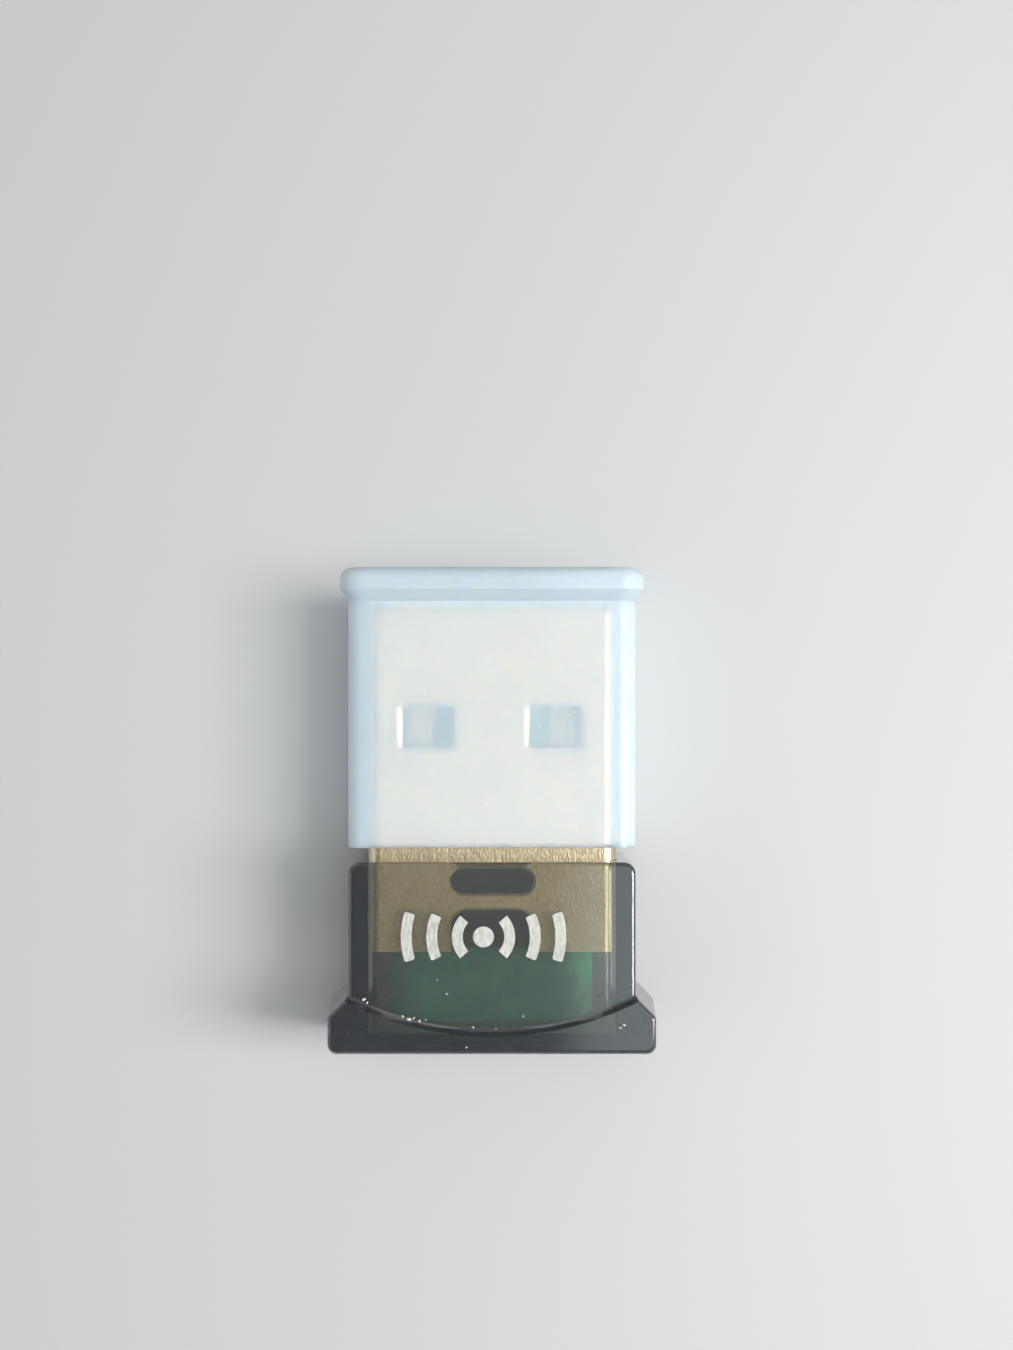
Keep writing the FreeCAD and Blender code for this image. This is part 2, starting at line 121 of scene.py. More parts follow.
# How far solder covers the ends of the small parts on the board, and the parts' own colours
TERMINAL_LENGTH = 0.25 * MM
SOLDER_COLOUR = (0.72, 0.72, 0.70)
SOLDERED_COLOURS = {
    "capacitor": (0.40, 0.27, 0.15),
    "resistor": (0.03, 0.03, 0.035),
    "matching_inductor": (0.10, 0.17, 0.24),
}

# Crumbs of dust: X, Y and length, in millimetres
HOUSING_SPECKS = (
    (-6.10, -9.05, 0.22),
    (-5.95, -9.20, 0.14),
    (-4.25, -9.85, 0.14),
    (-3.95, -9.98, 0.23),
    (-3.72, -9.94, 0.13),
    (-3.45, -10.08, 0.16),
    (-3.15, -10.02, 0.10),
    (-2.15, -8.78, 0.12),
    (-2.60, -8.10, 0.09),
    (-0.88, -10.38, 0.13),
    (-1.20, -11.25, 0.12),
    (0.20, -10.45, 0.09),
    (1.50, -9.85, 0.12),
    (6.30, -10.20, 0.17),
    (6.12, -10.32, 0.12),
    (5.10, -4.20, 0.07),
)
CAP_SPECKS = (
    (2.30, 4.05, 0.07),
    (3.98, 4.67, 0.06),
    (-0.22, 0.30, 0.05),
    (-6.45, 6.90, 0.05),
)
# A crumb's shape, how far its middle lies above the face and how uneven it is, all as shares of
# its length, and the turn of the first crumb and from each to the next, in radians
SPECK_SHAPE = (1.0, 0.55, 0.35)
SPECK_RAISE = 0.12
SPECK_UNEVENNESS = 0.08
FIRST_TURN = 0.4
TURN_STEP = 0.9


def colour_property(name, description, default):
    return FloatVectorProperty(
        name=name, description=description, default=default,
        size=3, subtype="COLOR", min=0, max=1,
    )


def length_property(name, description, default):
    return FloatProperty(
        name=name, description=description, default=default, unit="LENGTH", min=0, precision=6
    )


def place_property(name, description, default):
    return FloatProperty(name=name, description=description, default=default, unit="LENGTH")


def share_property(name, description, default):
    return FloatProperty(
        name=name, description=description, default=default, subtype="FACTOR", min=0, max=1
    )


def density_property(name, description, default):
    return FloatProperty(name=name, description=description, default=default, min=0)


def power_property(name, description, default):
    return FloatProperty(name=name, description=description, default=default, unit="POWER")


class AdapterFinishes(bpy.types.PropertyGroup):
    """Colours and finishes of the adapter's pieces."""

    cap_colour: colour_property(
        "Cap", "Milky plastic's own scattered colour", (0.76, 0.87, 1.0)
    )
    cap_through: colour_property(
        "Cap through", "Tint of what shows through the cap", (0.955, 0.94, 0.965)
    )
    cap_clearness: share_property(
        "Cap clearness", "Share of light that passes its thin walls", 0.60
    )
    cap_side_clearness: share_property("Cap side clearness", "The same along its sides", 0.22)
    cap_end_clearness: share_property("Cap end clearness", "The same at its solid end", 0.32)
    cap_roughness: share_property("Cap roughness", "Blur of what shows through the cap", 0.2)
    cap_density: density_property(
        "Cap density", "Light lost per metre of milky plastic", 20.0
    )
    smoke_tint: colour_property("Smoke", "Tint left by the smoke plastic", (0.50, 0.51, 0.45))
    smoke_density: density_property(
        "Smoke density", "Light lost per metre of smoke plastic, for a black tint", 2050.0
    )
    smoke_haze: colour_property(
        "Smoke haze", "Faint milkiness of the smoke plastic", (0.63, 0.73, 0.84)
    )
    haze_share: share_property(
        "Haze share", "Share of light the haze takes at each face", 0.035
    )
    gold_colour: colour_property("Gold", "Plating of the plug's shell", (0.895, 0.722, 0.435))
    gold_roughness: share_property(
        "Gold roughness", "Spread of the plating's reflections", 0.37
    )
    # A painted highlight: the plating's colour along the shell's bends, paler than the flat
    # sheet
    bend_highlight_colour: colour_property(
        "Gold at bends", "Plating rolled bright where it bends", (1.0, 0.88, 0.62)
    )
    mask_colour: colour_property(
        "Solder mask", "Green of the circuit board", (0.012, 0.25, 0.13)
    )
    ink_colour: colour_property(
        "Ink", "Silver-white ink of the printed mark", (0.62, 0.62, 0.565)
    )


class AdapterSizes(bpy.types.PropertyGroup):
    """Sizes of the printed mark that this file adds to the solids."""

    mark_x: place_property("Mark X", "Middle of the mark across the housing", -0.40 * MM)
    mark_y: place_property("Mark Y", "Middle of the mark along the housing", -6.06 * MM)
    mark_width: length_property("Mark width", "Overall width of the mark", 7.9 * MM)
    mark_height: length_property("Mark height", "Overall height of the mark", 3.0 * MM)
    mark_stroke: length_property("Stroke", "Width of the mark's lines", 0.52 * MM)
    ink_thickness: length_property("Ink thickness", "How proud the ink stands", 0.02 * MM)


class StudioLight(bpy.types.PropertyGroup):
    """Light and floor of the studio."""

    floor_colour: colour_property("Floor", "Plain pale floor", (0.66, 0.655, 0.64))
    key_power: power_property("Key", "Power of the small soft lamp on the right", 0.215)
    fill_power: power_property("Fill", "Power of the low soft lamp on the left", 0.06)
    top_power: power_property("Top", "Power of the broad lamp overhead on the right", 0.33)
    sky_strength: FloatProperty(
        name="Sky", description="Strength of the even light all round", default=0.37
    )


def shade(colour, share):
    """A colour times a number, with no part above 1."""
    return tuple(min(share * part, 1) for part in colour)


class Wire:
    """An output socket in a shader tree. Arithmetic on wires adds Math nodes."""

    def __init__(self, tree, socket):
        self.tree = tree
        self.socket = socket

    def out(self, name):
        """Another output of the same node."""
        return Wire(self.tree, self.socket.node.outputs[name])

    def _math(self, operation, *values):
        return self.tree.add(
            "ShaderNodeMath", {"operation": operation}, dict(enumerate(values))
        )

    def __add__(self, other):
        return self._math("ADD", self, other)

    def __radd__(self, other):
        return self._math("ADD", other, self)

    def __sub__(self, other):
        return self._math("SUBTRACT", self, other)

    def __rsub__(self, other):
        return self._math("SUBTRACT", other, self)

    def __mul__(self, other):
        return self._math("MULTIPLY", self, other)

    def __rmul__(self, other):
        return self._math("MULTIPLY", other, self)

    def __gt__(self, other):
        return self._math("GREATER_THAN", self, other)

    def __lt__(self, other):
        return self._math("LESS_THAN", self, other)


class ShaderTree:
    """The node tree of a new material, or of the world, emptied and built up by add()."""

    def __init__(self, name, blocks=None, output="ShaderNodeOutputMaterial"):
        blocks = bpy.data.materials if blocks is None else blocks
        self.owner = blocks.new(name)
        self.owner.use_nodes = True
        self.nodes = self.owner.node_tree.nodes
        self.links = self.owner.node_tree.links
        self.nodes.clear()
        self.output = self.nodes.new(output)

    def add(self, kind, settings=None, inputs=None, output=None):
        """One node: its settings, then the values or wires of its sockets.

        Gives the output of that number, or the first that is shown.
        """
        node = self.nodes.new(kind)
        for name, value in (settings or {}).items():
            setattr(node, name, value)
        for name, value in (inputs or {}).items():
            socket = node.inputs[name]
            if isinstance(value, Wire):
                self.links.new(value.socket, socket)
            else:
                socket.default_value = value
        if output is None:
            return Wire(self, next(socket for socket in node.outputs if socket.enabled))
        return Wire(self, node.outputs[output])

    def surface(self, shader):
        self.links.new(shader.socket, self.output.inputs["Surface"])

    def clear_body(self, shader, shadow_share, tint, density):
        """Shader of a clear piece, which lets this share of the light of lamps through each face
        and absorbs light along the way through its body."""
        grey = (shadow_share, shadow_share, shadow_share, 1)
        let_through = self.add("ShaderNodeBsdfTransparent", inputs={"Color": grey})
        shadow_ray = self.add("ShaderNodeLightPath").out("Is Shadow Ray")
        self.surface(self.mix(shadow_ray, shader, let_through))
        body = self.add(
            "ShaderNodeVolumeAbsorption", inputs={"Color": (*tint, 1), "Density": density}
        )
        self.links.new(body.socket, self.output.inputs["Volume"])

    def place(self):
        """The piece's own coordinates, in metres."""
        return self.add("ShaderNodeTexCoord").out("Object")

    def along(self, axis):
        """One of the piece's own coordinates, as a number in metres."""
        return self.add("ShaderNodeSeparateXYZ", inputs={0: self.place()}).out(axis)

    def noise(self, size, detail=2.0, roughness=0.5, stretch=(1, 1, 1)):
        """Cloudy pattern from 0 to 1 with lumps of about this size, in metres."""
        scale = tuple(1 / (size * each) for each in stretch)
        vector = self.add(
            "ShaderNodeVectorMath", {"operation": "MULTIPLY"}, {0: self.place(), 1: scale}
        )
        return self.add(
            "ShaderNodeTexNoise",
            inputs={"Vector": vector, "Scale": 1.0, "Detail": detail, "Roughness": roughness},
        )

    def size_of(self, value):
        """value without its sign."""
        return self.add("ShaderNodeMath", {"operation": "ABSOLUTE"}, {0: value})

    def larger(self, first, second):
        return self.add("ShaderNodeMath", {"operation": "MAXIMUM"}, {0: first, 1: second})

    def range(self, value, low, high, to_low=0.0, to_high=1.0):
        """value taken from low..high to to_low..to_high, and held there outside."""
        return self.add(
            "ShaderNodeMapRange",
            {"clamp": True},
            {
                "Value": value,
                "From Min": low,
                "From Max": high,
                "To Min": to_low,
                "To Max": to_high,
            },
        )

    def spread(self, noise, to_low=0.0, to_high=1.0):
        """A noise taken to to_low..to_high from 0.3..0.7, where most of its values are."""
        return self.range(noise, 0.3, 0.7, to_low, to_high)

    def blend(self, factor, first, second):
        """A colour between two colours."""
        inputs = {0: factor}
        for number, colour in ((6, first), (7, second)):
            inputs[number] = colour if isinstance(colour, Wire) else (*colour, 1)
        return self.add("ShaderNodeMix", {"data_type": "RGBA"}, inputs, output=2)

    def mottle(self, noise, colour, darkest, palest):
        """A colour that wanders with a noise between two shades of itself."""
        return self.blend(self.spread(noise), shade(colour, darkest), shade(colour, palest))

    def bump(self, height, distance, strength):
        return self.add(
            "ShaderNodeBump",
            inputs={"Height": height, "Distance": distance, "Strength": strength},
        )

    def principled(self, **sockets):
        """Principled shader. Sockets are named with underscores in place of spaces."""
        inputs = {name.replace("_", " "): value for name, value in sockets.items()}
        if not isinstance(inputs["Base Color"], Wire):
            inputs["Base Color"] = (*inputs["Base Color"], 1)
        return self.add("ShaderNodeBsdfPrincipled", inputs=inputs)

    def mix(self, factor, first, second):
        return self.add("ShaderNodeMixShader", inputs={0: factor, 1: first, 2: second})


def give(node_name, material):
    """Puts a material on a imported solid."""
    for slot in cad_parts[node_name].material_slots:
        slot.material = material


def cap_material(looks):
    """Milky soft plastic: bluish where it scatters, warm and blurred where light passes."""
    tree = ShaderTree("milky_plastic")
    cloud = tree.noise(3.0 * MM, detail=3.0)
    colour = tree.mottle(cloud, looks.cap_colour, darkest=0.96, palest=1.0)
    grain = tree.noise(0.08 * MM, detail=2.0)
    normal = tree.bump(grain, distance=0.004 * MM, strength=0.5)
    milky = tree.principled(
        Base_Color=colour,
        Roughness=tree.spread(grain, to_low=0.34, to_high=0.46),
        IOR=1.5,
        Subsurface_Weight=1.0,
        Subsurface_Radius=(1.3, 1.05, 0.85),
        Subsurface_Scale=0.8 * MM,
        Normal=normal,
    )
    clear = tree.add(
        "ShaderNodeBsdfRefraction",
        inputs={
            "Color": (*looks.cap_through, 1),
            "Roughness": looks.cap_roughness,
            "IOR": 1.45,
        },
    )
    # The thick side walls, and the solid end past the plug's tip
    wall = PLUG_HIGH.x + 0.2 * MM
    sides = tree.range(tree.size_of(tree.along("X")), wall - 0.6 * MM, wall)
    tip = PLUG_HIGH.y
    end = tree.range(tree.along("Y"), tip - 0.45 * MM, tip + 0.1 * MM)
    clearness = tree.range(sides, 0.0, 1.0, looks.cap_clearness, looks.cap_side_clearness)
    clearness = clearness + (looks.cap_end_clearness - clearness) * end
    seen = tree.mix(clearness, milky, clear)
    tree.clear_body(seen, shadow_share=0.97, tint=(0, 0, 0), density=looks.cap_density)
    return tree.owner


def smoke_material(looks):
    """Clear smoke plastic: glossy faces, and a tint that deepens with the way through it."""
    tree = ShaderTree("smoke_plastic")
    cloud = tree.noise(0.5 * MM, detail=4.0, roughness=0.6)
    glass = tree.principled(
        Base_Color=(1, 1, 1),
        Roughness=tree.range(cloud, 0.35, 0.75, to_low=0.07, to_high=0.12),
        IOR=1.58,
        Transmission_Weight=1.0,
        Coat_Weight=0.9,
        Coat_Roughness=0.08,
    )
    haze = tree.principled(
        Base_Color=tree.blend(cloud, shade(looks.smoke_haze, 0.8), looks.smoke_haze),
        Roughness=0.1,
        IOR=1.5,
        Subsurface_Weight=1.0,
        Subsurface_Radius=(1.0, 1.0, 1.0),
        Subsurface_Scale=1.6 * MM,
    )
    hazy = tree.mix(looks.haze_share, glass, haze)
    tree.clear_body(
        hazy, shadow_share=0.92, tint=looks.smoke_tint, density=looks.smoke_density
    )
    return tree.owner


def gold_material(looks):
    """Gold flash over a sheet with a coarse rolled grain that sparkles."""
    tree = ShaderTree("gold_plating")
    grain = tree.noise(0.08 * MM, detail=2.0, roughness=0.6, stretch=(1.0, 2.6, 1.0))
    fine = tree.noise(0.04 * MM, detail=2.0)
    cloud = tree.noise(1.6 * MM, detail=3.0)
    pale = shade(looks.gold_colour, 1.08)
    deep = tuple(c * share for c, share in zip(looks.gold_colour, (0.86, 0.81, 0.72)))
    # Colour of the painted shade in the gap between the housing and the cap
    gap_shade_colour = (0.27, 0.228, 0.19)

    # Under the cap the plating is kept cleaner, smoother and more even
    capped = tree.range(tree.along("Y"), CAP_MOUTH_Y, CAP_MOUTH_Y + 0.5 * MM)
    mottle = tree.range(grain * 0.75 + cloud * 0.25, 0.40, 0.58)
    colour = tree.blend(mottle + (0.6 - mottle) * capped * 0.6, deep, pale)

    # The bare strip between the housing and the cap is darkened by painted shade, deepest in the
    # low spots of its grain
    middle = (HOUSING_HIGH.y + CAP_MOUTH_Y) / 2
    half = (CAP_MOUTH_Y - HOUSING_HIGH.y) / 2
    off_strip = tree.size_of(tree.along("Y") - middle)
    bare = 1 - tree.range(off_strip, half - 0.1 * MM, half + 0.2 * MM)
    gap_shade = bare * tree.range(grain, 0.62, 0.38, to_low=0.55, to_high=0.72)

    # Rolling polished the long bends, just below the upper face and just above the lower one, so
    # the plating is smoother there; its brighter colour there is a painted highlight
    depth = (PLUG_HIGH.z - PLUG_LOW.z) / 2 - tree.size_of(tree.along("Z") - MID_Z)
    below_face = tree.range(depth, 0.02 * MM, 0.10 * MM)
    rolled = below_face * tree.range(depth, 0.9 * MM, 0.6 * MM)
    # Painted highlight: the bends take a brighter colour, besides their real smoothness
    colour = tree.blend(rolled, colour, looks.bend_highlight_colour)
    # Painted shade darkens the plating in the gap between the housing and the cap
    colour = tree.blend(gap_shade, colour, gap_shade_colour)

    rough = looks.gold_roughness
    spread = tree.range(grain, 0.35, 0.65, rough + 0.06, rough - 0.06)
    height = (grain * 0.8 + fine * 0.2 - 0.5) * (1 - rolled * 0.85) * (1 - capped * 0.75)
    shader = tree.principled(
        Base_Color=colour,
        Metallic=1.0,
        Roughness=spread - rolled * 0.10 - capped * 0.11,
        Normal=tree.bump(height, distance=0.05 * MM, strength=0.55),
    )
    tree.surface(shader)
    return tree.owner


def board_material(looks):
    """Green solder mask: deep over the copper, with painted shade along the left edge, and a
    painted glow of light along the bare margin and cut edge on the right.
    """
    tree = ShaderTree("solder_mask")
    weave = tree.noise(0.35 * MM, detail=2.0, stretch=(1.0, 3.0, 1.0))
    mask = tree.blend(
        tree.range(weave, 0.35, 0.65),
        shade(looks.mask_colour, 0.8),
        shade(looks.mask_colour, 1.2),
    )
    wander = (tree.noise(1.2 * MM, detail=1.0) - 0.5) * (0.7 * MM)
    # Painted shade along the board's left edge: the mask darkens there, fading inwards
    out_of_painted_shade = tree.range(tree.along("X") + wander, BOARD_LOW.x, BOARD_LOW.x + 1.6 * MM)
    mask = tree.blend(out_of_painted_shade, shade(looks.mask_colour, 0.3), mask)
    covered = tree.principled(
        Base_Color=mask,
        Roughness=0.32,
        IOR=1.5,
        Coat_Weight=0.4,
        Coat_Roughness=0.12,
        Normal=tree.bump(weave, distance=0.01 * MM, strength=0.4),
    )
    # Painted glow: bright green standing for light from the right on the bare margin
    painted_glow = tree.blend(tree.spread(weave), (0.01, 0.62, 0.24), (0.03, 0.90, 0.36))
    bare = tree.principled(
        Base_Color=painted_glow,
        Roughness=0.35,
        IOR=1.5,
        Subsurface_Weight=1.0,
        Subsurface_Radius=(0.6, 1.2, 0.7),
        Subsurface_Scale=0.5 * MM,
    )
    # A bare margin on the right, whose bright green is a painted glow of the light from that
    # side, dimmer towards the housing's closed end
    inner = BOARD_HIGH.x - 1.15 * MM
    margin = tree.range(tree.along("X") + wander, inner, inner + 0.95 * MM)
    rear = HOUSING_LOW.y + 2.2 * MM
    painted_glow_fade = tree.range(tree.along("Y"), rear, rear + 1.4 * MM, to_low=0.45)
    tree.surface(tree.mix(margin * painted_glow_fade, covered, bare))
    return tree.owner


def plain_plastic(name, colour, roughness, grain_size, grain_depth):
    """Moulded plastic or a masked face with a fine grain."""
    tree = ShaderTree(name)
    grain = tree.noise(grain_size, detail=3.0)
    shader = tree.principled(
        Base_Color=tree.mottle(grain, colour, darkest=0.85, palest=1.15),
        Roughness=tree.spread(grain, roughness - 0.06, roughness + 0.06),
        Normal=tree.bump(grain, grain_depth, strength=0.5),
    )
    tree.surface(shader)
    return tree.owner


def plain_metal(name, colour, roughness, grain_size):
    """Plated or tinned metal with faint unevenness."""
    tree = ShaderTree(name)
    grain = tree.noise(grain_size, detail=3.0)
    shader = tree.principled(
        Base_Color=tree.mottle(grain, colour, darkest=0.9, palest=1.08),
        Metallic=1.0,
        Roughness=tree.spread(grain, roughness - 0.05, roughness + 0.08),
        Normal=tree.bump(grain, distance=0.003 * MM, strength=0.4),
    )
    tree.surface(shader)
    return tree.owner


def soldered_material(node_name, colour):
    """Ceramic part with tinned ends, told apart by the distance from the part's middle."""
    low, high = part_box(node_name)
    size = high - low
    axis = "X" if size.x > size.y else "Y"
    middle = (low.x + high.x) / 2 if axis == "X" else (low.y + high.y) / 2
    half = max(size.x, size.y) / 2
    tree = ShaderTree("soldered_" + node_name)
    off = tree.along(axis) - middle
    end = (off * off) > (half - TERMINAL_LENGTH) ** 2
    grain = tree.noise(0.06 * MM, detail=2.0)
    body = tree.blend(grain, shade(colour, 0.85), colour)
    shader = tree.principled(
        Base_Color=tree.blend(end, body, SOLDER_COLOUR),
        Metallic=end,
        Roughness=tree.spread(grain, to_low=0.28, to_high=0.42),
        Normal=tree.bump(grain, distance=0.006 * MM, strength=0.5),
    )
    tree.surface(shader)
    return tree.owner


def ink_material(looks):
    """Silver-white ink, a little uneven along its strokes."""
    tree = ShaderTree("silver_ink")
    streak = tree.noise(0.12 * MM, detail=3.0, stretch=(1.0, 3.0, 1.0))
    shader = tree.principled(
        Base_Color=tree.mottle(streak, looks.ink_colour, darkest=0.82, palest=1.2),
        Metallic=0.15,
        Roughness=tree.spread(streak, to_low=0.4, to_high=0.6),
        Normal=tree.bump(streak, distance=0.008 * MM, strength=0.6),
    )
    tree.surface(shader)
    return tree.owner


def dust_material():
    """Pale lint and crumbs."""
    tree = ShaderTree("pale_dust")
    cloud = tree.noise(0.8 * MM, detail=1.0)
    colour = tree.blend(cloud, (0.70, 0.68, 0.64), (0.88, 0.88, 0.86))
    tree.surface(tree.principled(Base_Color=colour, Roughness=0.8))
    return tree.owner


def start_piece(name):
    """Takes the primitive just added, under its name, into edit mode."""
    piece = bpy.context.object
    piece.name = name
    piece.data.name = name
    bpy.ops.object.mode_set(mode="EDIT")
    return piece


def finish_piece(piece):
    """Back to object mode, with the piece's place moved into its mesh."""
    if bpy.context.mode != "OBJECT":
        bpy.ops.object.mode_set(mode="OBJECT")
    bpy.ops.object.transform_apply(location=True, rotation=True, scale=True)
    return piece


def join_pieces(pieces, name, material):
    """Joins pieces into one, with one material."""
    bpy.ops.object.select_all(action="DESELECT")
    for piece in pieces:
        piece.select_set(True)
    bpy.context.view_layer.objects.active = pieces[0]
    bpy.ops.object.join()
    joined = bpy.context.view_layer.objects.active
    joined.name = name
    joined.data.name = name
    joined.data.materials.clear()
    joined.data.materials.append(material)
    return joined


def select_points(piece, wanted):
    """Selects the points whose place satisfies wanted, and nothing else."""
    bpy.ops.mesh.select_all(action="DESELECT")
    bpy.ops.object.mode_set(mode="OBJECT")
    for vertex in piece.data.vertices:
        vertex.select = wanted(piece.matrix_world @ vertex.co)
    bpy.ops.object.mode_set(mode="EDIT")


def apply_modifier(piece, kind, **settings):
    modifier = piece.modifiers.new(kind.lower(), kind)
    for name, value in settings.items():
        setattr(modifier, name, value)
    bpy.ops.object.modifier_apply(modifier=modifier.name)


def thicken_ink(piece, thickness):
    """Gives a flat shape the ink's thickness, upwards, and softens its edges."""
    bpy.ops.object.mode_set(mode="OBJECT")
    apply_modifier(piece, "SOLIDIFY", thickness=thickness, offset=1.0)
    apply_modifier(piece, "BEVEL", width=thickness / 3, segments=2, limit_method="ANGLE")


def mark_arc(name, centre, radius, half_angle, side, sizes):
    """One arc of the mark, open towards its middle, with rounded ends."""
    stroke = sizes.mark_stroke
    inner_edge = radius - stroke / 2
    outer_edge = radius + stroke / 2
    step = 2 * math.pi / ARC_STEPS
    end_angle = math.floor(half_angle / step) * step

    def turned(point):
        return abs(math.atan2(point.y - centre.y, side * (point.x - centre.x)))

    bpy.ops.object.select_all(action="DESELECT")
    bpy.ops.mesh.primitive_circle_add(
        vertices=ARC_STEPS, radius=inner_edge, fill_type="NOTHING", location=centre
    )
    piece = start_piece(name)
    bpy.ops.mesh.select_mode(type="VERT")
    select_points(piece, lambda point: turned(point) > half_angle + 1e-6)
    bpy.ops.mesh.delete(type="VERT")
    bpy.ops.mesh.select_all(action="SELECT")
    bpy.ops.mesh.extrude_region()
    growth = outer_edge / inner_edge
    bpy.ops.transform.resize(value=(growth, growth, 1), center_override=centre)
    select_points(piece, lambda point: abs(turned(point) - end_angle) < step / 4)
    bpy.ops.mesh.bevel(offset=stroke * END_ROUNDING, segments=5, affect="VERTICES")
    bpy.ops.mesh.select_all(action="SELECT")
    bpy.ops.mesh.normals_make_consistent(inside=False)
    thicken_ink(piece, sizes.ink_thickness)
    return finish_piece(piece)


def mark_dot(name, centre, radius, thickness):
    """The round dot in the mark's middle."""
    bpy.ops.object.select_all(action="DESELECT")
    bpy.ops.mesh.primitive_circle_add(
        vertices=DOT_CORNERS, radius=radius, fill_type="NGON", location=centre
    )
    piece = start_piece(name)
    bpy.ops.mesh.inset(thickness=radius * DOT_INSET)
    thicken_ink(piece, thickness)
    return finish_piece(piece)


def speck(name, place, size, turn):
    """One flattened crumb of dust, uneven in its own way."""
    bpy.ops.object.select_all(action="DESELECT")
    bpy.ops.mesh.primitive_ico_sphere_add(
        subdivisions=2,
        radius=size / 2,
        location=place,
        rotation=(0, 0, turn),
        scale=SPECK_SHAPE,
    )
    piece = start_piece(name)
    bpy.ops.mesh.select_all(action="SELECT")
    bpy.ops.transform.vertex_random(offset=size * SPECK_UNEVENNESS, seed=int(turn * 100) % 50)
    return finish_piece(piece)


def scatter_dust(name, node_name, specks, body, material):
    """Crumbs of dust lying on the upper faces of one solid, joined into one piece."""
    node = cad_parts[node_name]
    down = Vector((0, 0, -1))
    pieces = []
    for index, (x, y, size) in enumerate(specks):
        above = Vector((x * MM, y * MM, HOUSING_HIGH.z + 1 * MM))
        hit, place, _, _ = node.ray_cast(above, down)
        if not hit:
            raise RuntimeError("no face under a speck of %s" % name)
        place.z += SPECK_RAISE * size * MM
        turn = FIRST_TURN + TURN_STEP * index
        pieces.append(speck("%s_%d" % (name, index + 1), place, size * MM, turn))
    dust = join_pieces(pieces, name, material)
    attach(dust, body)


class ADAPTER_OT_dress_cap(bpy.types.Operator):
    """Give the cap its milky plastic"""

    bl_idname = "adapter.dress_cap"
    bl_label = "Dress Cap"

    def execute(self, context):
        give("cap", cap_material(context.scene.adapter_finishes))
        return {"FINISHED"}


class ADAPTER_OT_dress_housing(bpy.types.Operator):
    """Give the housing its clear smoke plastic"""

    bl_idname = "adapter.dress_housing"
    bl_label = "Dress Housing"

    def execute(self, context):
        give("housing", smoke_material(context.scene.adapter_finishes))
        return {"FINISHED"}


class ADAPTER_OT_dress_plug(bpy.types.Operator):
    """Give the plug its gold plating, and its tray and contacts their finishes"""

    bl_idname = "adapter.dress_plug"
    bl_label = "Dress Plug"

    def execute(self, context):
        give("plug_shell", gold_material(context.scene.adapter_finishes))
        tray = plain_plastic(
            "tray_plastic", (0.055, 0.056, 0.062),
            roughness=0.5, grain_size=0.06 * MM, grain_depth=0.004 * MM,
        )
        give("board_tray", tray)
        contact = plain_metal(
            "contact_gold", (0.83, 0.64, 0.33), roughness=0.32, grain_size=0.2 * MM
        )
        for name in CONTACTS:
            give(name, contact)
        return {"FINISHED"}


class ADAPTER_OT_dress_board(bpy.types.Operator):
    """Give the circuit board and what is soldered on it their finishes"""

    bl_idname = "adapter.dress_board"
    bl_label = "Dress Board"

    def execute(self, context):
        give("circuit_board", board_material(context.scene.adapter_finishes))
        chip = plain_plastic(
            "chip_moulding", (0.055, 0.055, 0.065),
            roughness=0.45, grain_size=0.05 * MM, grain_depth=0.004 * MM,
        )
        give("radio_chip", chip)
        tin = plain_metal(
            "bright_tin", (0.74, 0.74, 0.72), roughness=0.25, grain_size=0.1 * MM
        )
        give("chip_leads", tin)
        lid = plain_metal(
            "crystal_lid", (0.62, 0.60, 0.54), roughness=0.3, grain_size=0.3 * MM
        )
        give("crystal", lid)
        antenna = plain_plastic(
            "masked_copper", (0.03, 0.27, 0.12),
            roughness=0.3, grain_size=0.3 * MM, grain_depth=0.002 * MM,
        )
        give("antenna", antenna)
        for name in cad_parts:
            for kind, colour in SOLDERED_COLOURS.items():
                if name.startswith(kind):
                    give(name, soldered_material(name, colour))
        return {"FINISHED"}


class ADAPTER_OT_print_mark(bpy.types.Operator):
    """Print a generic radiating mark on the housing's upper face"""

    bl_idname = "adapter.print_mark"
    bl_label = "Print Mark"

    def execute(self, context):
        sizes = context.scene.adapter_sizes
        top = HOUSING_HIGH.z - PRINT_DROP + INK_GAP
        centre = Vector((sizes.mark_x, sizes.mark_y, top))
        pieces = [mark_dot("mark_dot", centre, DOT_RADIUS, sizes.ink_thickness)]
        outer = sizes.mark_width / 2 - sizes.mark_stroke / 2
        half_height = sizes.mark_height / 2 - sizes.mark_stroke / 2
        for index in range(ARCS_PER_SIDE):
            outwards = index / (ARCS_PER_SIDE - 1)
            radius = INNER_ARC_RADIUS + (outer - INNER_ARC_RADIUS) * outwards
            reach = half_height * (INNER_ARC_REACH + REACH_GROWTH * outwards)
            half_angle = math.asin(min(reach / radius, ARC_LIMIT))
            for side, word in ((-1, "left"), (1, "right")):
                name = "mark_arc_%s_%d" % (word, index + 1)
                pieces.append(mark_arc(name, centre, radius, half_angle, side, sizes))
        ink = ink_material(context.scene.adapter_finishes)
        mark = join_pieces(pieces, "printed_mark", ink)
        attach(mark, ADAPTER)
        return {"FINISHED"}


class ADAPTER_OT_scatter_dust(bpy.types.Operator):
    """Scatter a few crumbs of dust on the housing and the cap"""

    bl_idname = "adapter.scatter_dust"
    bl_label = "Scatter Dust"

    def execute(self, context):
        material = dust_material()
        scatter_dust("housing_dust", "housing", HOUSING_SPECKS, ADAPTER, material)
        scatter_dust("cap_dust", "cap", CAP_SPECKS, CAP, material)
        return {"FINISHED"}


